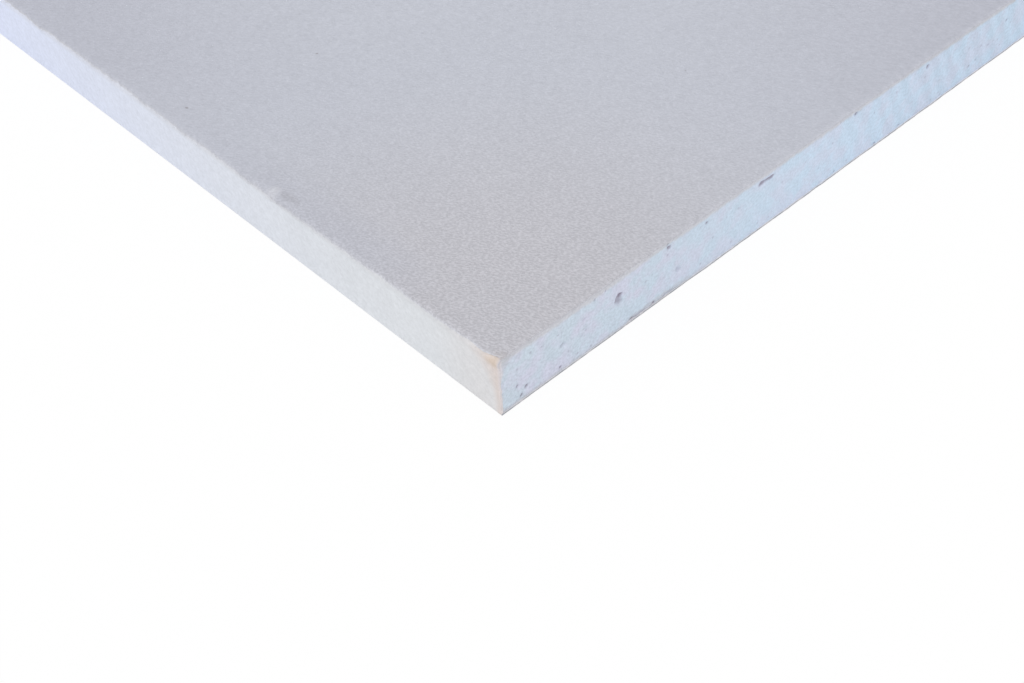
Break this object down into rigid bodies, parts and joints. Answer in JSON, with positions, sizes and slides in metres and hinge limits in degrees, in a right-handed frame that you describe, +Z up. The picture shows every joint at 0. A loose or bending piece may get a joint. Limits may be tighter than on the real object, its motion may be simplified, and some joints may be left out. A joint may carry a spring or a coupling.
{
  "type": "drywall sheet",
  "caption": "Square-edged paper-faced gypsum board lying flat with its back liner up, long edges wrapped in face paper, ends cut square with the core bare.",
  "frame": {"origin": "middle of the underside, where the sheet rests on its face paper", "axes": "+Y along the sheet, parallel to the wrapped long edges; +X across the sheet, parallel to the cut ends; +Z up through the thickness, from the face paper to the back liner"},
  "size_m": [1.2, 2.4, 0.0125],
  "materials": {
    "gypsum_core": "cast gypsum, matt, finely pored, saw-marked on the cut ends",
    "face_paper": "smooth ivory face paper, matt",
    "back_paper": "grey recycled liner paper, matt, finely fibrous"
  },
  "bodies": {
    "root": {"gypsum_core": "gypsum_core", "face_paper": "face_paper", "back_paper": "back_paper"}
  },
  "joints": []
}
